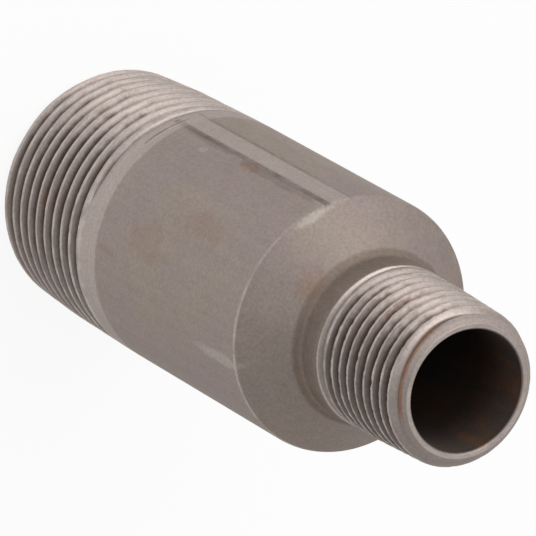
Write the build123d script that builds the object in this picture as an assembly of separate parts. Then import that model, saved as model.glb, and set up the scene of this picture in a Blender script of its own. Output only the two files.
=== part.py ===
"""Concentric swage nipple, 1 in by 1/2 in, turned from one piece of steel.

All sizes are in millimetres. The nipple stands on its large end: the origin is the centre of that
end's face, and +Z runs along the axis to the small end.
"""

from build123d import *
import math
import os

# Overall sizes
length = 88.9
large_diameter = 33.4
small_diameter = 21.3
neck_length = 27.8  # from the edge of the shoulder to the small face
shoulder_angle = 45.0  # between the shoulder and the axis, in degrees

# Walls, which leave a wide bore in the body and a narrow one through the neck
large_wall = 3.4
small_wall = 2.75
shoulder_wall = 3.4  # square to the shoulder
bore_bevel = 0.2

# Flat left along the body where the pipe seam was trimmed
seam_flat_width = 2.5
seam_angle = -139.3

# Both ends carry a tapered, right-handed pipe thread. The taper is 1 in 16 on the diameter.
taper = 1 / 32
flank_angle = 30.0
strips_per_turn = 3
points_per_strip = 4

# Heights in a thread are measured from the face of its own end. A drop is how far the surface lies
# below the radius of the pipe.
large_thread = {
    "pipe_radius": large_diameter / 2,
    "pitch": 2.2087,
    "root_drop": 2.17,  # at the face
    "full_length": 20.3,
    "end": 22.64,  # where the groove stops
    "end_angle": -73.7,
    "end_depth": 0.94,
    "chamfer": 1.35,
    "chamfer_drop": 0.78,  # at the top of the chamfer
    "lead_length": 10.0,  # the crests fall away faster below this height
    "lead_drop": 0.28,
    "band_end": 26.0,  # where the turned band ends
    "band_drop": 0.0,
}
small_thread = {
    "pipe_radius": small_diameter / 2,
    "pitch": 1.8143,
    "root_drop": 1.74,
    "full_length": 16.0,
    "end": 17.4,
    "end_angle": 60.0,
    "end_depth": 0.85,
    "chamfer": 1.6,
    "chamfer_drop": 0.45,
    "lead_length": 11.0,
    "lead_drop": 0.1,
    "band_end": 17.9,
    "band_drop": 0.1,
}

# Turns the small thread's own upright place over, onto the small end
small_end_up = Pos(0, 0, length) * Rot(180, 0, 0)


def turned(corners):
    """Solid of revolution from the corners of its half section, each a radius and a height."""
    section = Wire.make_polygon([Vector(radius, 0, height) for radius, height in corners], close=True)
    return revolve(Face(section), Axis.Z)


def point(radius, height, angle):
    """Point at a radius, a height and an angle in degrees round the axis."""
    turn = math.radians(angle)
    return Vector(radius * math.cos(turn), radius * math.sin(turn), height)


def surface_radius(thread, height):
    """Radius of the surface that the groove is cut into, with no chamfer."""
    chamfer = (thread["chamfer"], thread["chamfer_drop"])
    lead = (thread["lead_length"], thread["lead_drop"])
    band = (thread["band_end"], thread["band_drop"])
    low, high = (chamfer, lead) if height < thread["lead_length"] else (lead, band)
    slope = (high[1] - low[1]) / (high[0] - low[0])
    return thread["pipe_radius"] - low[1] - slope * (height - low[0])


def root_radius(thread, height):
    """Radius of the groove's root: it follows the taper, then rises to the depth at its end."""
    face_radius = thread["pipe_radius"] - thread["root_drop"]
    last_root = surface_radius(thread, thread["end"]) - thread["end_depth"]
    rise = last_root - face_radius - taper * thread["end"]
    share = (height - thread["full_length"]) / (thread["end"] - thread["full_length"])
    return face_radius + taper * height + rise * min(1.0, max(0.0, share))


def threaded_rod(thread):
    """Solid rod with its thread, from more than a turn below the face up to the end of the band.

    One groove runs up to the angle where it stops. Its flanks and the crest between its turns are
    strips, each a part of a turn long, between splines along the root and the crest.
    """
    strip_height = thread["pitch"] / strips_per_turn
    turns = math.ceil(thread["end"] / thread["pitch"]) + 2
    count = turns * strips_per_turn
    start = thread["end"] - count * strip_height
    shares = [step / points_per_strip for step in range(points_per_strip + 1)]

    def place(line, height):
        """Point of the root (0) or of the groove's lower (-1) or upper (1) edge."""
        angle = thread["end_angle"] + 360 * (height - thread["end"]) / thread["pitch"]
        root = root_radius(thread, height)
        if line == 0:
            return point(root, height, angle)
        depth = surface_radius(thread, height) - root
        edge_height = height + line * depth * math.tan(math.radians(flank_angle))
        return point(surface_radius(thread, edge_height), edge_height, angle)

    def row(line):
        """Splines along the root or an edge of the groove."""
        lows = [start + strip_height * i for i in range(count)]
        rows = [[place(line, low + strip_height * share) for share in shares] for low in lows]
        return [Edge.make_spline(points, parameters=shares) for points in rows]

    strip = Face.make_surface_from_curves
    roots, uppers, lowers = row(0), row(1), row(-1)
    next_roots, next_lowers = roots[strips_per_turn:], lowers[strips_per_turn:]
    faces = [strip(root, upper) for root, upper in zip(roots, uppers)]
    faces += [strip(upper, lower) for upper, lower in zip(uppers, next_lowers)]
    faces += [strip(lower, root) for lower, root in zip(next_lowers, next_roots)]

    # The groove stops square, and the plain band goes on from the upper edge of its last turn.
    faces.append(Face(Wire.make_polygon([place(line, thread["end"]) for line in (-1, 0, 1)])))
    band_radius = surface_radius(thread, thread["band_end"])
    arc_angle = 360 / strips_per_turn
    arc_starts = [thread["end_angle"] + arc_angle * i for i in range(strips_per_turn)]
    band_top = Pos(0, 0, thread["band_end"])
    arcs = [band_top * CenterArc((0, 0), band_radius, angle, arc_angle).edge() for angle in arc_starts]
    faces += [strip(upper, arc) for upper, arc in zip(uppers[-strips_per_turn:], arcs)]
    faces.append(Face(Wire(arcs)))

    # Below the face the rod is closed by ramps to the axis and a step between their ends.
    first_turn = roots[:strips_per_turn]
    centres = [Vector(0, 0, start + strip_height * i) for i in range(strips_per_turn + 1)]
    for root, low, high in zip(first_turn, centres, centres[1:]):
        faces.append(strip(root, Edge.make_line(low, high)))
    step = [roots[0] @ 0, uppers[0] @ 0, next_lowers[0] @ 0, next_roots[0] @ 0, *reversed(centres)]
    faces.append(Face(Wire.make_polygon(step, close=True)))
    return Solid(Shell(faces))


def end_waste(thread):
    """What the lathe takes off a threaded rod: all below the face and outside the chamfer."""
    face_radius = thread["pipe_radius"] - thread["chamfer_drop"] - thread["chamfer"]
    reach = 3 * thread["pitch"]
    corners = [
        (0, 0),
        (face_radius, 0),
        (face_radius + reach, reach),
        (face_radius + reach, -reach),
        (0, -reach),
    ]
    return turned(corners)


def plain_body():
    """The solid between the two threaded bands, with the shoulder."""
    body_radius = large_diameter / 2
    neck_radius = small_diameter / 2
    shoulder_start = length - neck_length
    slope = math.tan(math.radians(shoulder_angle))
    neck_band = length - small_thread["band_end"]
    band_drop = small_thread["band_drop"]
    corners = [
        (0, large_thread["band_end"]),
        (body_radius, large_thread["band_end"]),
        (body_radius, shoulder_start),
        (neck_radius, shoulder_start + (body_radius - neck_radius) / slope),
        (neck_radius, neck_band - band_drop),
        (neck_radius - band_drop, neck_band),
        (0, neck_band),
    ]
    return turned(corners)


def bore():
    """Both bores and the inside taper, which runs parallel to the shoulder one wall below it."""
    wide = large_diameter / 2 - large_wall
    narrow = small_diameter / 2 - small_wall
    angle = math.radians(shoulder_angle)
    shoulder_start = length - neck_length
    taper_start = shoulder_start + large_wall / math.tan(angle) - shoulder_wall / math.sin(angle)
    corners = [
        (0, 0),
        (wide + bore_bevel, 0),
        (wide, bore_bevel),
        (wide, taper_start),
        (narrow, taper_start + (wide - narrow) / math.tan(angle)),
        (narrow, length - bore_bevel),
        (narrow + bore_bevel, length),
        (0, length),
    ]
    return turned(corners)


def seam_waste():
    """Block that trims the seam flat along the body, from the thread to the shoulder."""
    body_radius = large_diameter / 2
    flat_distance = math.sqrt(body_radius**2 - (seam_flat_width / 2) ** 2)
    start = large_thread["band_end"]
    height = length - neck_length + body_radius - start
    block = Box(body_radius, body_radius, height, align=(Align.MIN, Align.CENTER, Align.MIN))
    return Rot(0, 0, seam_angle) * Pos(flat_distance, 0, start) * block


def swage_nipple():
    """The whole nipple as one solid."""
    large_end = threaded_rod(large_thread) - end_waste(large_thread)
    small_end = threaded_rod(small_thread) - end_waste(small_thread)
    blank = plain_body() + large_end + small_end_up * small_end
    return blank - bore() - seam_waste()


os.makedirs("parts", exist_ok=True)
nipple = swage_nipple()
nipple.label = "swage_nipple"
export_step(nipple, "parts/swage_nipple.step")
print(f"swage_nipple: {nipple.volume:.0f} cubic mm, {len(nipple.faces())} faces")
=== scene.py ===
"""Concentric swage nipple: cut threads, worn bare steel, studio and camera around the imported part.

Everything is in metres in the part's own frame: the nipple stands on its large end, with +Z to the
small end and -Y towards the side that the camera shows. An azimuth is measured from +X.
"""

import math

import bmesh
import bpy
import numpy as np
from bpy.props import FloatProperty, FloatVectorProperty, IntProperty, PointerProperty
from mathutils import Euler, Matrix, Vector, noise


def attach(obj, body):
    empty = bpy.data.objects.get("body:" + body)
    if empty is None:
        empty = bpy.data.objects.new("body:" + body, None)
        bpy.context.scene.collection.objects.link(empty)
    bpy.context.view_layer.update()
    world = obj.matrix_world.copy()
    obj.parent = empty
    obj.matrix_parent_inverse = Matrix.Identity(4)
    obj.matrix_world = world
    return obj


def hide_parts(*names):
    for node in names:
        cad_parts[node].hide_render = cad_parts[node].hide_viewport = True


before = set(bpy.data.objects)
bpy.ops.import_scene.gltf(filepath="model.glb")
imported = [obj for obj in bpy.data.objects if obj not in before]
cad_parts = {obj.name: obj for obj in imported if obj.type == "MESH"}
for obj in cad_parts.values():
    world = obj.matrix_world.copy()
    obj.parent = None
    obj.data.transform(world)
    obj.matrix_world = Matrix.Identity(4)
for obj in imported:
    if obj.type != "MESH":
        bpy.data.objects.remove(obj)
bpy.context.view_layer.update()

bl_info = {
    "name": "Swage Nipple",
    "version": (1, 0, 0),
    "blender": (4, 5, 0),
    "location": "View3D > Sidebar > Nipple",
    "description": "Builds a threaded reducing nipple in bare steel on a studio floor",
    "category": "Add Mesh",
}

MM = 0.001
NODE = "swage_nipple"
FLANK_SLOPE = math.tan(math.radians(30))
ROWS_PER_PITCH = 12
MERGE = 2e-6


def srgb(red, green, blue):
    """A colour given in 0 to 255 screen values, as the linear values that shaders take."""
    return tuple(((v / 255 + 0.055) / 1.055) ** 2.4 for v in (red, green, blue))


def length_setting(name, description, default):
    """A length in metres that a user may change."""
    return FloatProperty(name=name, description=description, default=default, unit="LENGTH", precision=5)


class NippleSizes(bpy.types.PropertyGroup):
    """Outside and bore sizes of the nipple."""

    length: length_setting("Length", "From the large face to the small one", 88.9 * MM)
    body_radius: length_setting("Body radius", "Radius of the plain body", 16.69 * MM)
    neck_radius: length_setting("Neck radius", "Radius of the neck beside the shoulder", 10.65 * MM)
    shoulder_height: length_setting("Shoulder height", "Where the shoulder starts", 61.1 * MM)
    band_end: length_setting("Band end", "Where the turned band meets the raw body", 26.0 * MM)
    neck_band_start: length_setting("Neck band", "Where the turned part of the neck starts", 70.9 * MM)
    large_bore: length_setting("Large bore radius", "Radius of the bore in the body", 13.3 * MM)
    small_bore: length_setting("Small bore radius", "Radius of the bore in the neck", 7.9 * MM)
    inner_taper_start: length_setting("Inner taper", "Where the wide bore starts to narrow", 59.69 * MM)
    bore_bevel: length_setting("Bore bevel", "Bevel at both mouths", 0.2 * MM)
    seam_width: length_setting("Seam flat", "Width of the trimmed seam along the body", 2.5 * MM)
    seam_azimuth: FloatProperty(
        name="Seam azimuth",
        description="Direction that the seam flat faces",
        default=math.radians(-139.3),
        subtype="ANGLE",
    )
    columns: IntProperty(name="Columns", description="Faces around the body", default=252, min=24)


class LargeThread(bpy.types.PropertyGroup):
    """The 1 in taper pipe thread."""

    pitch: length_setting("Pitch", "Height of one turn", 2.2087 * MM)
    root_radius: length_setting("Root radius", "Root radius at the large face", 14.53 * MM)
    root_height: length_setting("Root height", "Height of a root at azimuth -90 degrees", 2.66 * MM)
    tear_size: length_setting("Tear size", "Size of the small tears along the crests", 1.1 * MM)
    tear_depth: length_setting("Tear depth", "Depth of the tears", 0.028 * MM)
    columns: IntProperty(name="Columns", description="Faces around one turn", default=240, min=24)


class SmallThread(bpy.types.PropertyGroup):
    """The 1/2 in taper pipe thread."""

    pitch: length_setting("Pitch", "Height of one turn", 1.8143 * MM)
    root_radius: length_setting("Root radius", "Root radius at the small face", 8.91 * MM)
    root_height: length_setting("Root height", "Height of a root at azimuth -90 degrees", 71.4928 * MM)
    tear_size: length_setting("Tear size", "Size of the small tears along the crests", 0.75 * MM)
    tear_depth: length_setting("Tear depth", "Depth of the tears", 0.075 * MM)
    columns: IntProperty(name="Columns", description="Faces around one turn", default=200, min=24)


def colour_setting(name, description, red, green, blue):
    """A colour that a user may change, written in 0 to 255 screen values."""
    return FloatVectorProperty(
        name=name, description=description, default=srgb(red, green, blue), subtype="COLOR", min=0, max=1
    )


class SteelColours(bpy.types.PropertyGroup):
    """Colours of the steel, its dirt and its rust, and of the painted shade and highlights."""

    raw_tan: colour_setting("Raw tan", "Rolled surface where oil has tinted it", 162, 150, 141)
    raw_grey: colour_setting("Raw grey", "Rolled surface elsewhere", 161, 148, 144)
    turned: colour_setting("Turned", "Where the lathe has cut", 179, 167, 161)
    # Also paints highlights: a patch past the shoulder, and the shoulder edge brighter on the +X side.
    wear_and_highlight: colour_setting("Crest", "Rubbed edges of the threads", 206, 197, 191)
    # Grime also paints the shade in the thread grooves, strongest on their +X side.
    grime_and_shade: colour_setting("Grime", "Old oil and dirt in the grooves", 84, 68, 60)
    neck: colour_setting("Neck", "Brown skin on the uncut part of the neck", 130, 117, 107)
    rust: colour_setting("Rust", "Thin rust", 146, 99, 70)
    # A dark colour for the painted shade deep inside the bore.
    deep_bore_shade: colour_setting("Soot", "Deep inside the pipe", 36, 29, 26)
    bore: colour_setting("Bore", "Inside of the pipe", 99, 88, 82)


class StageSettings(bpy.types.PropertyGroup):
    """Light levels and the camera's lens."""

    softbox_power: FloatProperty(
        name="Softbox", description="Power of the large lamp", default=3.8, min=0, unit="POWER"
    )
    bright_side: FloatProperty(
        name="Bright side", description="Studio brightness on the softbox's side", default=0.8, min=0
    )
    dark_side: FloatProperty(
        name="Dark side", description="Studio brightness on the far side", default=0.46, min=0
    )
    shadow: FloatProperty(
        name="Shadow", description="How much of its shadow the floor shows", default=0.1, min=0, max=1
    )
    lens: FloatProperty(name="Lens", description="Focal length on a 36 mm sensor", default=625.14)


def smooth_step(share):
    """Ease shares of 0 to 1 in and out."""
    share = np.clip(share, 0, 1)
    return share * share * (3 - 2 * share)


def large_surface(z):
    """Radius of the large end's surface over its thread, from the chamfer to the body."""
    return np.interp(z / MM, (-14.57, 0, 1.35, 10, 22.7, 26, 90), (0, 14.57, 15.92, 16.42, 16.66, 16.69, 16.69)) * MM


def small_surface(z):
    """Radius of the neck's surface over its thread, up to the chamfer."""
    return np.interp(z / MM, (0, 70.9, 71.0, 77.9, 87.3, 97.5), (10.65, 10.65, 10.55, 10.55, 10.2, 0)) * MM


def large_root(sizes, z):
    """Root radius at height z: it follows the taper, rises in the washout, then leaves the metal."""
    full = sizes.root_radius + z / 32
    washout = np.clip((z - 20.3 * MM) / (2.2 * MM), 0, 1)
    lift = smooth_step((z - 22.5 * MM) / (0.16 * MM))
    rise = large_surface(20.3 * MM) + 0.06 * MM - sizes.root_radius - 20.3 * MM / 32 - 0.94 * MM
    return full + rise * washout + 1.0 * MM * lift


def small_root(sizes, z):
    """Root radius at height z, rising at the shoulder end of the thread."""
    below = 88.9 * MM - z
    full = sizes.root_radius + below / 32
    washout = np.clip((below - 16.0 * MM) / (1.4 * MM), 0, 1)
    lift = smooth_step((below - 17.4 * MM) / (0.6 * MM))
    return full + 0.24 * MM * washout + 1.0 * MM * lift


def leave_edit_and_deselect():
    """Back to object mode with nothing selected."""
    if bpy.context.object and bpy.context.object.mode != "OBJECT":
        bpy.ops.object.mode_set(mode="OBJECT")
    bpy.ops.object.select_all(action="DESELECT")


def select_vertices(piece, chosen):
    """In edit mode, select the vertices for which chosen(position) is true, and what they span."""
    mesh = bmesh.from_edit_mesh(piece.data)
    for vertex in mesh.verts:
        vertex.select_set(bool(chosen(vertex.co)))
    mesh.select_flush_mode()
    bmesh.update_edit_mesh(piece.data)


def select_open_loops(piece, chosen):
    """In edit mode, select the open edges whose both ends satisfy chosen(position)."""
    mesh = bmesh.from_edit_mesh(piece.data)
    bpy.ops.mesh.select_mode(type="EDGE")
    for edge in mesh.edges:
        edge.select_set(False)
    for edge in mesh.edges:
        if edge.is_boundary and all(chosen(vertex.co) for vertex in edge.verts):
            edge.select_set(True)
    bmesh.update_edit_mesh(piece.data)


def positions(piece):
    """The piece's vertex positions as rows of x, y, z."""
    values = np.zeros(len(piece.data.vertices) * 3, np.float32)
    piece.data.vertices.foreach_get("co", values)
    return values.reshape(-1, 3).astype(float)


def move_vertices(piece, places):
    """Give the piece's vertices new places."""
    piece.data.vertices.foreach_set("co", places.astype(np.float32).ravel())
    piece.data.update()


def groove_opening(root_height, root_radius, surface, side):
    """Half width of a vee groove where its flank meets the surface, above (1) or below (-1) the root."""
    low = np.zeros_like(root_height)
    high = np.full_like(root_height, 1.4 * MM)
    for _ in range(24):
        middle = (low + high) / 2
        inside = root_radius + middle / FLANK_SLOPE < surface(root_height + side * middle)
        low = np.where(inside, middle, low)
        high = np.where(inside, high, middle)
    return (low + high) / 2


def thread_shell(name, sizes, root, surface, low, high):
    """A helical strip with one row of faces per step of the thread form, trimmed at two heights."""
    pitch = sizes.pitch
    quarter_up = sizes.root_height + pitch / 4
    first = quarter_up - pitch * math.ceil((quarter_up - low + pitch) / pitch)
    turns = math.ceil((high - first) / pitch) + 1

    leave_edit_and_deselect()
    bpy.ops.mesh.primitive_plane_add(size=MM, location=(surface(low), 0, first))
    shell = bpy.context.object
    shell.name = name
    bpy.ops.object.transform_apply(location=True, rotation=True, scale=True)
    bpy.ops.object.mode_set(mode="EDIT")
    bpy.ops.mesh.select_all(action="SELECT")
    bpy.ops.mesh.merge(type="CENTER")
    for _ in range(ROWS_PER_PITCH):
        step = (0, 0, pitch / ROWS_PER_PITCH)
        bpy.ops.mesh.extrude_region_move(TRANSFORM_OT_translate={"value": step})
    bpy.ops.object.mode_set(mode="OBJECT")

    screw = shell.modifiers.new("helix", "SCREW")
    screw.axis = "Z"
    screw.screw_offset = pitch
    screw.iterations = turns
    screw.steps = sizes.columns
    screw.render_steps = sizes.columns
    bpy.ops.object.modifier_apply(modifier=screw.name)
    bpy.ops.object.mode_set(mode="EDIT")
    bpy.ops.mesh.select_all(action="SELECT")
    bpy.ops.mesh.remove_doubles(threshold=MERGE)
    bpy.ops.object.mode_set(mode="OBJECT")

    shape_thread(shell, sizes, root, surface, first)

    bpy.ops.object.mode_set(mode="EDIT")
    for height, above in ((low, False), (high, True)):
        bpy.ops.mesh.select_all(action="SELECT")
        bpy.ops.mesh.bisect(
            plane_co=(0, 0, height),
            plane_no=(0, 0, 1),
            clear_inner=not above,
            clear_outer=above,
            threshold=1e-7,
        )
    bpy.ops.object.mode_set(mode="OBJECT")
    return shell


def shape_thread(shell, sizes, root, surface, first):
    """Move each row of the strip to its place on the thread form.

    No operator follows a taper, a chamfer and a run-out at once, so the places are worked out here.
    """
    pitch = sizes.pitch
    places = positions(shell)
    azimuth = np.arctan2(places[:, 1], places[:, 0]) % (2 * math.pi)
    azimuth[azimuth > 2 * math.pi - 1e-4] = 0
    climb = (places[:, 2] - first) / pitch - azimuth / (2 * math.pi)
    step = np.rint(climb * ROWS_PER_PITCH).astype(int)
    turn = step // ROWS_PER_PITCH
    row = step % ROWS_PER_PITCH

    # Rows 0 to 5 climb from a root to its upper edge, and rows 7 to 11 go down into the next one.
    own_root = np.where(row > 6, turn + 1, turn)
    side = np.where(row > 6, -1, 1)
    rank = np.where(row > 6, ROWS_PER_PITCH - row, row)
    half = ROWS_PER_PITCH // 2
    height = first + pitch * (own_root + azimuth / (2 * math.pi))

    def row_place(root_height, facing, position_rank):
        depth_radius = root(sizes, root_height)
        opening = groove_opening(root_height, depth_radius, surface, facing)
        opening = np.maximum(opening, 0.05 * MM)
        share = np.interp(position_rank, (0, 1, 2, 3, 4), (0, 0.12, 0.42, 0.75, 0.95))
        z = root_height + facing * opening * share
        radius = depth_radius + opening * share / FLANK_SLOPE
        radius = np.where(position_rank == 0, depth_radius + 0.08 * MM, radius)
        z_crest = root_height + facing * (opening + 0.05 * MM)
        on_crest = position_rank >= 5
        z = np.where(on_crest, z_crest, z)
        radius = np.where(on_crest, surface(z_crest), radius)
        return z, np.minimum(radius, surface(z))

    z, radius = row_place(height, side, rank)
    middle = row == half
    below, _ = row_place(height, np.ones_like(side), np.full_like(rank, 5))
    above, _ = row_place(height + pitch, -np.ones_like(side), np.full_like(rank, 5))
    z = np.where(middle, (below + above) / 2, z)
    radius = np.where(middle, surface(z), radius)
    # The cutter tore the crests a little, most of all in the small thread.
    edge = np.interp(rank, (2, 3, 4, 5), (0, 0.5, 1, 1)) * np.clip((surface(z) - root(sizes, z)) / MM, 0, 1)
    coarse, fine = (rough(places, sizes.tear_size * share) for share in (1, 0.45))
    radius = radius - sizes.tear_depth * edge * (np.maximum(coarse, 0) + np.maximum(fine, 0))
    z = z + sizes.tear_depth * edge * (fine + 0.5 * coarse)

    places[:, 0] = radius * np.cos(azimuth)
    places[:, 1] = radius * np.sin(azimuth)
    places[:, 2] = z
    move_vertices(shell, places)


def rough(places, size):
    """Smooth noise of -1 to 1 at each place, with bumps of about the size given."""
    return np.array([noise.noise(Vector(place / size)) for place in places])


def turned_shell(name, rings, columns, azimuth):
    """A ring of edges at the first radius and height, extruded through all the others."""
    leave_edit_and_deselect()
    radius, height = rings[0]
    bpy.ops.mesh.primitive_circle_add(
        vertices=columns, radius=radius, location=(0, 0, height), rotation=(0, 0, azimuth)
    )
    shell = bpy.context.object
    shell.name = name
    bpy.ops.object.transform_apply(location=True, rotation=True, scale=True)
    bpy.ops.object.mode_set(mode="EDIT")
    bpy.ops.mesh.select_all(action="SELECT")
    for (before, start), (after, end) in zip(rings, rings[1:]):
        bpy.ops.mesh.extrude_region_move(TRANSFORM_OT_translate={"value": (0, 0, end - start)})
        if after != before:
            scale = after / before
            bpy.ops.transform.resize(value=(scale, scale, 1), center_override=(0, 0, end))
    bpy.ops.object.mode_set(mode="OBJECT")
    return shell


def spaced(start, end, count):
    """Points from start to end, each a radius and a height, without the first."""
    return [tuple(np.array(start) + (np.array(end) - start) * i / count) for i in range(1, count + 1)]


def fillet(corner, before, after, size, count):
    """Points of a small round at a corner between two others."""
    corner = np.array(corner)
    start = corner + (before - corner) / np.linalg.norm(before - corner) * size
    end = corner + (after - corner) / np.linalg.norm(after - corner) * size
    shares = [i / count for i in range(count + 1)]
    return [tuple((1 - s) ** 2 * start + 2 * s * (1 - s) * corner + s * s * end) for s in shares]


def outside_rings(sizes):
    """Radius and height of each ring from the turned band to the neck."""
    body, neck = sizes.body_radius, sizes.neck_radius
    cone_end = sizes.shoulder_height + body - neck
    start = np.array((body, sizes.band_end + 0.3 * MM))
    edge = np.array((body, sizes.shoulder_height))
    corner = np.array((neck, cone_end))
    end = np.array((neck, sizes.neck_band_start - 0.25 * MM))
    edge_round = fillet(edge, start, corner, 0.3 * MM, 4)
    neck_round = fillet(corner, edge, end, 0.4 * MM, 4)
    rings = [tuple(start)]
    rings += spaced(start, edge_round[0], 40) + edge_round[1:]
    rings += spaced(edge_round[-1], neck_round[0], 10) + neck_round[1:]
    return rings + spaced(neck_round[-1], end, 5)


def inside_rings(sizes):
    """Radius and height of each ring of the bore, from the small mouth to the large one."""
    taper_end = sizes.inner_taper_start + sizes.large_bore - sizes.small_bore
    mouth = (sizes.small_bore + sizes.bore_bevel, sizes.length)
    lip = (sizes.small_bore, sizes.length - sizes.bore_bevel)
    narrow = (sizes.small_bore, taper_end)
    wide = (sizes.large_bore, sizes.inner_taper_start)
    lower = (sizes.large_bore, sizes.bore_bevel)
    foot = (sizes.large_bore + sizes.bore_bevel, 0)
    rings = [mouth, lip] + spaced(lip, narrow, 16) + spaced(narrow, wide, 8)
    return rings + spaced(wide, lower, 30) + [foot]


def trim_seam(shell, sizes):
    """Press the columns of the seam flat onto its plane, up to the shoulder."""
    places = positions(shell)
    radius = np.hypot(places[:, 0], places[:, 1])
    azimuth = np.arctan2(places[:, 1], places[:, 0]) - sizes.seam_azimuth
    azimuth = (azimuth + math.pi) % (2 * math.pi) - math.pi
    plane = math.sqrt(sizes.body_radius**2 - (sizes.seam_width / 2) ** 2)
    limit = plane / np.cos(azimuth)
    flat = (np.abs(azimuth) < 0.5) & (radius > limit)
    scale = np.where(flat, limit / radius, 1)
    places[:, 0] *= scale
    places[:, 1] *= scale
    move_vertices(shell, places)


def bridge(piece, chosen):
    """Join the two open loops near a place with faces."""
    select_open_loops(piece, chosen)
    bpy.ops.mesh.bridge_edge_loops()


class Shader:
    """Short ways to add and join the nodes of one tree."""

    def __init__(self, tree):
        self.tree = tree
        tree.nodes.clear()

    def add(self, kind, settings=None, **inputs):
        """Add a node; inputs are given by name or as i0, i1, each a value or another node's socket."""
        node = self.tree.nodes.new(kind)
        for name, value in (settings or {}).items():
            setattr(node, name, value)
        for name, value in inputs.items():
            key = int(name[1:]) if name[0] == "i" and name[1:].isdigit() else name.replace("_", " ")
            socket = node.inputs[key]
            if isinstance(value, bpy.types.NodeSocket):
                self.tree.links.new(value, socket)
            else:
                socket.default_value = value
        return node

    def math(self, operation, *values, clamp=False):
        inputs = {f"i{i}": value for i, value in enumerate(values)}
        return self.add("ShaderNodeMath", {"operation": operation, "use_clamp": clamp}, **inputs).outputs[0]

    def times(self, first, *others):
        """Product of several values."""
        for other in others:
            first = self.math("MULTIPLY", first, other)
        return first

    def ramp(self, value, low, high, start=0.0, end=1.0):
        """Ease from start to end as value goes from low to high."""
        settings = {"interpolation_type": "SMOOTHSTEP"}
        node = self.add("ShaderNodeMapRange", settings, i0=value, i1=low, i2=high, i3=start, i4=end)
        return node.outputs[0]

    def between(self, value, low, high, soft):
        """1 between two limits, easing to 0 over a soft edge outside each."""
        rise = self.ramp(value, low - soft, low)
        return self.math("MULTIPLY", rise, self.ramp(value, high + soft, high))

    def mix(self, share, first, second):
        """Colour between two, each a socket or a colour setting."""
        first, second = (c if isinstance(c, bpy.types.NodeSocket) else (*c, 1) for c in (first, second))
        node = self.add("ShaderNodeMix", {"data_type": "RGBA"}, i0=share, i6=first, i7=second)
        return node.outputs[2]

    def noise(self, place, scale, detail=3.0, stretch=None):
        """Cloudy noise of 0 to 1, on places stretched along each axis if asked."""
        if stretch:
            place = self.add("ShaderNodeMapping", {"vector_type": "POINT"}, Vector=place, Scale=stretch).outputs[0]
        node = self.add("ShaderNodeTexNoise", Vector=place, Scale=scale, Detail=detail, Roughness=0.55)
        return node.outputs[0]

    def along(self, place, direction):
        """How far a place lies in a direction."""
        return self.add("ShaderNodeVectorMath", {"operation": "DOT_PRODUCT"}, i0=place, i1=direction).outputs[1]

    def patch(self, place, unevenness, azimuth, height, width, tall):
        """1 inside a patch with an uneven edge, from its place and its half width and half height."""
        turn = math.radians(azimuth)
        outward = (math.cos(turn), math.sin(turn), 0)
        sideways = (-math.sin(turn) / (width * MM), math.cos(turn) / (width * MM), 0)
        across = self.math("POWER", self.math("ABSOLUTE", self.along(place, sideways)), 2)
        up = self.math("SUBTRACT", self.along(place, (0, 0, 1 / (tall * MM))), height / tall)
        up = self.math("POWER", self.math("ABSOLUTE", up), 2)
        distance = self.math("ADD", self.math("SQRT", self.math("ADD", across, up)), unevenness)
        return self.times(self.ramp(distance, 1.15, 0.55), self.ramp(self.along(place, outward), 0, MM))


# Marks that single places carry: colour setting, strength, azimuth, height, half width, half height
MARKS = (
    ("grime_and_shade", 0.45, -124, 24.75, 3.4, 0.22),
    ("wear_and_highlight", 0.35, -125, 25.1, 3.0, 0.16),
    ("rust", 0.30, -130, 43.5, 0.9, 2.2),
    ("rust", 0.13, -76, 37.0, 2.8, 5.5),
    ("rust", 0.14, -95, 48.0, 2.0, 5.5),
    ("rust", 0.16, -64.5, 28.5, 0.5, 2.6),
    ("rust", 0.22, -98, 66.0, 2.4, 1.3),
    ("wear_and_highlight", 0.32, -46, 57.5, 0.95, 6.0),
    ("wear_and_highlight", 0.25, -126, 34.0, 0.5, 0.8),
    # Painted highlight: a light patch on the cone just past the shoulder edge.
    ("wear_and_highlight", 0.45, -125, 61.55, 3.0, 0.55),
    ("grime_and_shade", 0.22, -130.5, 50.0, 0.7, 12.0),
    ("grime_and_shade", 0.20, -132, 33.0, 0.6, 8.0),
    ("rust", 0.25, 20, 40.0, 2.5, 4.0),
    ("rust", 0.20, 100, 33.0, 2.0, 6.0),
    ("grime_and_shade", 0.18, 60, 50.0, 1.6, 7.0),
)


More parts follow.
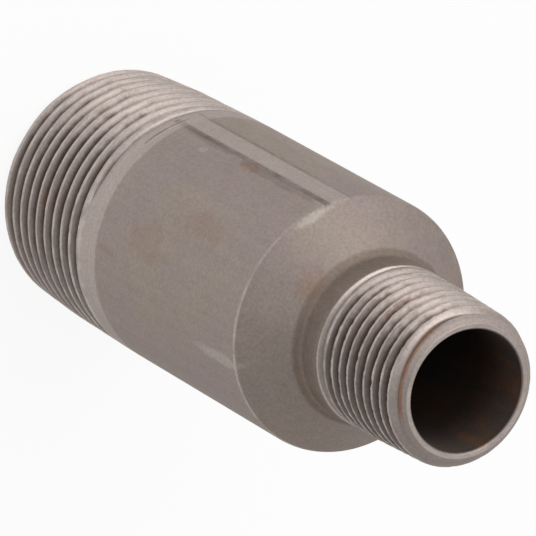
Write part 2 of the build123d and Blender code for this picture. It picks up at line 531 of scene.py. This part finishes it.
def worn_steel(sizes, colours):
    """Bare steel: dull rolled skin on the body, brighter where it was turned, dirt and painted shade in the grooves,
    painted shade deep in the bore.
    """
    material = bpy.data.materials.new("worn_steel")
    material.use_nodes = True
    shader = Shader(material.node_tree)
    place = shader.add("ShaderNodeTexCoord").outputs["Object"]
    height = shader.add("ShaderNodeSeparateXYZ", i0=place).outputs[2]
    groove = shader.add("ShaderNodeAttribute", {"attribute_name": "groove"}).outputs["Fac"]
    inside = shader.add("ShaderNodeAttribute", {"attribute_name": "inside"}).outputs["Fac"]
    level = shader.add("ShaderNodeVectorMath", {"operation": "MULTIPLY"}, i0=place, i1=(1, 1, 0)).outputs[0]
    outward = shader.add("ShaderNodeVectorMath", {"operation": "NORMALIZE"}, i0=level).outputs[0]
    side = shader.along(outward, (1, 0, 0))

    tint = shader.noise(place, 85.0, 4.0)
    cloud = shader.noise(place, 420.0, 4.0)
    speckle = shader.noise(place, 2600.0, 2.0)
    drawn = shader.noise(place, 900.0, 3.0, (1, 1, 0.035))
    lathe = shader.noise(place, 5200.0, 2.0, (0.012, 0.012, 1))
    unevenness = shader.math("MULTIPLY", shader.math("SUBTRACT", cloud, 0.5), 1.8)

    # Which surface each place belongs to
    uneven_end = shader.math("MULTIPLY_ADD", unevenness, 0.35 * MM, height)
    large_turned = shader.ramp(uneven_end, sizes.band_end + 0.7 * MM, sizes.band_end)
    small_turned = shader.ramp(height, sizes.neck_band_start - 0.1 * MM, sizes.neck_band_start + 0.1 * MM)
    is_turned = shader.math("MAXIMUM", large_turned, small_turned)
    large_cut = shader.ramp(height, 22.9 * MM, 22.4 * MM)
    small_cut = shader.ramp(height, 71.9 * MM, 72.5 * MM)
    threaded = shader.math("MAXIMUM", large_cut, small_cut)
    on_neck = shader.between(height, 66.6 * MM, sizes.neck_band_start, 0.5 * MM)

    raw = shader.mix(shader.ramp(tint, 0.38, 0.62), colours.raw_grey, colours.raw_tan)
    raw = shader.mix(shader.times(on_neck, 0.8), raw, colours.neck)
    on_cone = shader.between(height, sizes.shoulder_height + 0.3 * MM, 66.6 * MM, 0.3 * MM)
    raw = shader.mix(shader.times(on_cone, shader.ramp(side, 0.2, -0.3), 0.16), raw, colours.neck)
    colour = shader.mix(is_turned, raw, colours.turned)

    # The seam: a smoother strip with dark, broken borders
    turn = sizes.seam_azimuth
    across = shader.along(place, (-math.sin(turn), math.cos(turn), 0))
    facing = shader.ramp(shader.along(place, (math.cos(turn), math.sin(turn), 0)), 0, MM)
    on_seam = shader.times(facing, shader.between(height, 23.9 * MM, sizes.shoulder_height, 0.4 * MM))
    half = sizes.seam_width / 2
    strip = shader.times(on_seam, shader.between(across, -half, half, 0.15 * MM))
    broken = shader.times(shader.ramp(cloud, 0.35, 0.6, 0.4, 1.0), shader.ramp(tint, 0.35, 0.6, 0.35, 1.0))
    left_border = shader.between(across, -half - 0.5 * MM, -half - 0.25 * MM, 0.3 * MM)
    left_border = shader.times(left_border, 0.5)
    right_border = shader.between(across, half + 0.2 * MM, half + 0.7 * MM, 0.3 * MM)
    border = shader.times(on_seam, broken, shader.math("MAXIMUM", left_border, right_border))
    colour = shader.mix(shader.times(strip, 0.75), colour, colours.turned)
    colour = shader.mix(shader.times(border, 0.6), colour, colours.grime_and_shade)

    for name, strength, azimuth, level_height, width, tall in MARKS:
        mark = shader.patch(place, unevenness, azimuth, level_height, width, tall)
        colour = shader.mix(shader.times(mark, strength), colour, getattr(colours, name))

    # Grime-coloured darkening fills the grooves: partly oil and dirt, partly painted shade of the recesses. It is
    # strongest on the +X side away from the softbox, which is painted shade. Wear rubs it off the crests.
    shaded_side = shader.ramp(shader.math("ADD", side, unevenness), -0.7, 0.0, 0.3, 1.0)
    chamfer = shader.times(shader.ramp(groove, 0.10, 0.03), shader.ramp(height, 87.25 * MM, 87.5 * MM))
    chamfer = shader.times(chamfer, shader.ramp(height, 88.88 * MM, 88.8 * MM))
    deep = shader.ramp(shader.math("ADD", groove, shader.times(unevenness, 0.25)), 0.12, 0.75)
    before_end = shader.ramp(height, 87.2 * MM, 86.9 * MM, 0.12, 1.0)
    grime_and_shade = shader.math("MAXIMUM", shader.times(deep, shaded_side), shader.ramp(groove, 0.8, 1.0))
    grime_and_shade = shader.times(grime_and_shade, threaded, before_end)
    last_root = shader.times(shader.ramp(groove, 0.38, 0.6), shader.ramp(height, 87.2 * MM, 87.4 * MM))
    grime_and_shade = shader.math("MAXIMUM", grime_and_shade, shader.times(last_root, 0.9))
    # A thin grime-coloured film over the threads: some oil, and painted shade that makes it about three times
    # stronger on the +X side away from the softbox. The small end's chamfer gets a little of it too.
    film_and_side_shade = shader.times(threaded, shaded_side, before_end, shader.math("MULTIPLY_ADD", small_cut, 0.3, 0.26))
    film_and_side_shade = shader.math("MAXIMUM", film_and_side_shade, shader.times(chamfer, 0.14))
    unworn = shader.ramp(height, 87.35 * MM, 87.2 * MM)
    rubbed = shader.times(threaded, unworn, shader.ramp(groove, 0.12, 0.02), shader.ramp(cloud, 0.35, 0.6, 0.4, 1.0))
    colour = shader.mix(film_and_side_shade, colour, colours.grime_and_shade)
    colour = shader.mix(shader.times(grime_and_shade, 0.92), colour, colours.grime_and_shade)
    colour = shader.mix(shader.times(rubbed, 0.7), colour, colours.wear_and_highlight)

    # Rust lines: in the last groove at the small end, and specks in the threads
    end_line = shader.times(
        shader.between(shader.math("MULTIPLY_ADD", side, -0.289 * MM, height), 87.78 * MM, 88.2 * MM, 0.22 * MM),
        shader.between(side, -0.45, 0.6, 0.25),
        shader.ramp(shader.along(outward, (0, -1, 0)), 0, 0.2),
        shader.ramp(cloud, 0.3, 0.5, 0.4, 0.75),
    )
    specks = shader.times(threaded, shader.ramp(tint, 0.5, 0.62), shader.ramp(cloud, 0.52, 0.64), 0.16)
    corner = shader.times(shader.between(height, 66.9 * MM, 67.2 * MM, 0.3 * MM), shader.ramp(tint, 0.45, 0.6), 0.1)
    rust = shader.math("MAXIMUM", shader.math("MAXIMUM", end_line, specks), corner)
    colour = shader.mix(rust, colour, colours.rust)

    # Worn edges: the shoulder and the start of the turned neck. The shoulder line is partly wear and partly a
    # painted highlight, brighter on the +X side.
    shoulder = shader.between(height, sizes.shoulder_height - 0.1 * MM, sizes.shoulder_height + 0.1 * MM, 0.12 * MM)
    neck_edge = shader.between(height, sizes.neck_band_start, sizes.neck_band_start + 0.12 * MM, 0.08 * MM)
    shoulder = shader.times(shoulder, shader.ramp(side, -0.5, 0.3, 0.08, 0.6))
    edges = shader.math("MAXIMUM", shoulder, shader.times(neck_edge, 0.22))
    edges = shader.math("MAXIMUM", edges, shader.times(shader.ramp(height, 88.83 * MM, 88.88 * MM), 0.3))
    edges = shader.times(edges, shader.ramp(cloud, 0.35, 0.6, 0.4, 1.0))
    colour = shader.mix(edges, colour, colours.wear_and_highlight)

    bore_streak = shader.noise(place, 260.0, 4.0, (1, 1, 0.2))
    bore = shader.mix(shader.ramp(bore_streak, 0.45, 0.62, 0.0, 0.45), colours.bore, colours.rust)
    # Painted shade: the bore darkens towards the middle of its length, deep inside the pipe.
    far_in = shader.math("ABSOLUTE", shader.math("SUBTRACT", height, sizes.length / 2))
    bore = shader.mix(shader.ramp(far_in, 43 * MM, 34 * MM, 0, 0.7), bore, colours.deep_bore_shade)
    colour = shader.mix(inside, colour, bore)

    # Fine variation of brightness over everything
    shade = shader.math("MULTIPLY_ADD", speckle, 0.48, 1 - 0.24)
    shade = shader.math("MULTIPLY_ADD", cloud, 0.22, shader.math("SUBTRACT", shade, 0.11))
    line = shader.math("ADD", shader.times(drawn, shader.math("SUBTRACT", 1, is_turned)), shader.times(lathe, is_turned))
    line_share = shader.math("MULTIPLY_ADD", is_turned, 0.2, 0.16)
    shade = shader.math("ADD", shade, shader.times(shader.math("SUBTRACT", line, 0.5), line_share))
    colour = shader.add("ShaderNodeVectorMath", {"operation": "SCALE"}, i0=colour, Scale=shade).outputs[0]

    # The groove mask here is partly painted shade; it also makes those places rougher and less metallic.
    dirt = shader.math("MAXIMUM", shader.math("MAXIMUM", grime_and_shade, rust), inside)
    roughness = shader.math("SUBTRACT", 0.56, shader.times(is_turned, 0.08))
    roughness = shader.math("SUBTRACT", roughness, shader.times(strip, 0.06))
    roughness = shader.math("MULTIPLY_ADD", on_cone, 0.05, roughness)
    roughness = shader.math("MULTIPLY_ADD", cloud, 0.14, shader.math("SUBTRACT", roughness, 0.07))
    roughness = shader.math("MULTIPLY_ADD", shader.math("MAXIMUM", dirt, chamfer), 0.14, roughness)
    grain = shader.math("ADD", speckle, shader.times(line, 0.7))
    relief = shader.add("ShaderNodeBump", Strength=0.6, Distance=0.00003, Height=grain)
    surface = shader.add(
        "ShaderNodeBsdfPrincipled",
        Base_Color=colour,
        Metallic=shader.math("MULTIPLY_ADD", dirt, -0.35, 0.9),
        Roughness=roughness,
        Specular_Tint=(0.56, 0.54, 0.53, 1),
        Normal=relief.outputs[0],
    )
    shader.add("ShaderNodeOutputMaterial", Surface=surface.outputs[0])
    return material


def mark_places(nipple):
    """Store on each vertex how deep it lies in a thread groove and whether it is inside the bore."""
    places = positions(nipple)
    radius = np.hypot(places[:, 0], places[:, 1])
    height = places[:, 2]
    outer = np.where(height < 45 * MM, large_surface(height), small_surface(height))
    groove = np.clip((outer - radius) / (1.2 * MM), 0, 1)
    bore = np.where(height > 62.5 * MM, 8.0 * MM, 13.4 * MM)
    inside = (radius < bore).astype(float)
    on_face = (height < 0.05 * MM) | (height > 88.85 * MM)
    on_thread = ((height < 24 * MM) | (height > 71 * MM)) & (inside < 0.5) & ~on_face
    for name, values in (("groove", np.where(on_thread, groove, 0)), ("inside", inside)):
        attribute = nipple.data.attributes.new(name, "FLOAT", "POINT")
        attribute.data.foreach_set("value", values.astype(np.float32))


def seen_directly(shader):
    """1 for rays from the camera and for those that metal or glass passes on."""
    light_path = shader.add("ShaderNodeLightPath").outputs
    glossy = shader.math("MAXIMUM", light_path["Is Glossy Ray"], light_path["Is Transmission Ray"])
    return shader.math("MAXIMUM", light_path["Is Camera Ray"], glossy)


def add_floor(stage):
    """A pale floor that reads as white and keeps a little of the nipple's shadow."""
    leave_edit_and_deselect()
    bpy.ops.mesh.primitive_plane_add(size=4)
    floor = bpy.context.object
    floor.name = "floor"
    material = bpy.data.materials.new("pale_floor")
    material.use_nodes = True
    shader = Shader(material.node_tree)
    matt = shader.add("ShaderNodeBsdfDiffuse", Color=(0.9, 0.9, 0.9, 1)).outputs[0]
    white = shader.add("ShaderNodeEmission", Color=(1, 1, 1, 1), Strength=1.0).outputs[0]
    share = shader.math("MULTIPLY", seen_directly(shader), 1 - stage.shadow)
    mixed = shader.add("ShaderNodeMixShader", i0=share, i1=matt, i2=white).outputs[0]
    shader.add("ShaderNodeOutputMaterial", Surface=mixed)
    floor.data.materials.append(material)


def add_lamp(name, direction, distance, size, power):
    """A square area lamp in a direction from the nipple's middle, turned to face it."""
    data = bpy.data.lights.new(name, "AREA")
    data.size = size
    data.energy = power
    lamp = bpy.data.objects.new(name, data)
    middle = Vector((0, 0, 45 * MM))
    lamp.location = middle + direction.normalized() * distance
    lamp.rotation_euler = direction.to_track_quat("Z", "Y").to_euler()
    bpy.context.scene.collection.objects.link(lamp)


def light_background(scene, stage):
    """White behind the nipple, and a soft studio that is brighter on the softbox's side."""
    world = bpy.data.worlds.new("studio")
    scene.world = world
    world.use_nodes = True
    shader = Shader(world.node_tree)
    direction = shader.add("ShaderNodeTexCoord").outputs["Generated"]
    across = shader.add("ShaderNodeSeparateXYZ", i0=direction).outputs[0]
    level = shader.ramp(across, -0.7, 0.95, stage.bright_side, stage.dark_side)
    studio = shader.add("ShaderNodeBackground", Color=(1, 1, 1, 1), Strength=level).outputs[0]
    white = shader.add("ShaderNodeBackground", Color=(1, 1, 1, 1), Strength=1.0).outputs[0]
    camera_ray = shader.add("ShaderNodeLightPath").outputs["Is Camera Ray"]
    mixed = shader.add("ShaderNodeMixShader", i0=camera_ray, i1=studio, i2=white).outputs[0]
    shader.add("ShaderNodeOutputWorld", Surface=mixed)


def add_photo_camera(scene, stage):
    """The camera where the photo was taken from: above the small end, with a very long lens."""
    data = bpy.data.cameras.new("photo_camera")
    data.sensor_width = 36
    data.lens = stage.lens
    data.clip_end = 20
    camera = bpy.data.objects.new("photo_camera", data)
    camera.location = (0.001587, -0.681931, 0.991161)
    camera.rotation_euler = Euler(map(math.radians, (-19.58898, -30.38905, 125.34521)))
    scene.collection.objects.link(camera)
    scene.camera = camera


class NIPPLE_OT_build(bpy.types.Operator):
    """Build the nipple with its threads and dress it in worn steel"""

    bl_idname = "nipple.build"
    bl_label = "Build nipple"

    def execute(self, context):
        sizes = context.scene.nipple_sizes
        large = context.scene.nipple_large_thread
        small = context.scene.nipple_small_thread
        shells = [
            thread_shell("large_thread", large, large_root, large_surface, 0, sizes.band_end),
            thread_shell("small_thread", small, small_root, small_surface, sizes.neck_band_start, sizes.length),
            turned_shell("outside", outside_rings(sizes), sizes.columns, sizes.seam_azimuth),
            turned_shell("inside", inside_rings(sizes), 128, 0),
        ]
        trim_seam(shells[2], sizes)
        leave_edit_and_deselect()
        for shell in shells:
            shell.select_set(True)
        context.view_layer.objects.active = shells[2]
        bpy.ops.object.join()
        nipple = context.object
        nipple.name = "nipple"
        bpy.ops.object.mode_set(mode="EDIT")
        for low, high in (
            (-0.1 * MM, 0.1 * MM),
            (sizes.band_end - 0.1 * MM, sizes.band_end + 0.5 * MM),
            (sizes.neck_band_start - 0.4 * MM, sizes.neck_band_start + 0.1 * MM),
            (sizes.length - 0.1 * MM, sizes.length + 0.1 * MM),
        ):
            bridge(nipple, lambda place: low < place.z < high)
        bpy.ops.mesh.select_all(action="SELECT")
        bpy.ops.mesh.normals_make_consistent(inside=False)
        bpy.ops.object.mode_set(mode="OBJECT")
        bpy.ops.object.shade_smooth_by_angle(angle=math.radians(38))
        mark_places(nipple)
        nipple.data.materials.clear()
        nipple.data.materials.append(worn_steel(sizes, context.scene.nipple_colours))
        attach(nipple, "root")
        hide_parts(NODE)
        return {"FINISHED"}


class NIPPLE_OT_stage(bpy.types.Operator):
    """Add the floor, the lights, the background and the camera"""

    bl_idname = "nipple.stage"
    bl_label = "Build stage"

    def execute(self, context):
        stage = context.scene.nipple_stage
        add_floor(stage)
        add_lamp("softbox", Vector((-0.60, -0.12, 0.80)), 0.9, 0.7, stage.softbox_power)
        light_background(context.scene, stage)
        add_photo_camera(context.scene, stage)
        context.scene.view_settings.view_transform = "Standard"
        return {"FINISHED"}


class NIPPLE_PT_panel(bpy.types.Panel):
    """Sizes and build buttons in the sidebar"""

    bl_label = "Swage nipple"
    bl_idname = "NIPPLE_PT_panel"
    bl_space_type = "VIEW_3D"
    bl_region_type = "UI"
    bl_category = "Nipple"

    def draw(self, context):
        layout = self.layout
        for group in GROUPS:
            settings = getattr(context.scene, group)
            for name in settings.bl_rna.properties.keys():
                if name not in ("rna_type", "name"):
                    layout.prop(settings, name)
        layout.operator("nipple.build")
        layout.operator("nipple.stage")


GROUPS = {
    "nipple_sizes": NippleSizes,
    "nipple_large_thread": LargeThread,
    "nipple_small_thread": SmallThread,
    "nipple_colours": SteelColours,
    "nipple_stage": StageSettings,
}
CLASSES = (*GROUPS.values(), NIPPLE_OT_build, NIPPLE_OT_stage, NIPPLE_PT_panel)


def register():
    for kind in CLASSES:
        bpy.utils.register_class(kind)
    for name, group in GROUPS.items():
        setattr(bpy.types.Scene, name, PointerProperty(type=group))


def unregister():
    for name in GROUPS:
        delattr(bpy.types.Scene, name)
    for kind in reversed(CLASSES):
        bpy.utils.unregister_class(kind)


def main():
    register()
    bpy.ops.nipple.build()
    bpy.ops.nipple.stage()


if __name__ == "__main__":
    main()
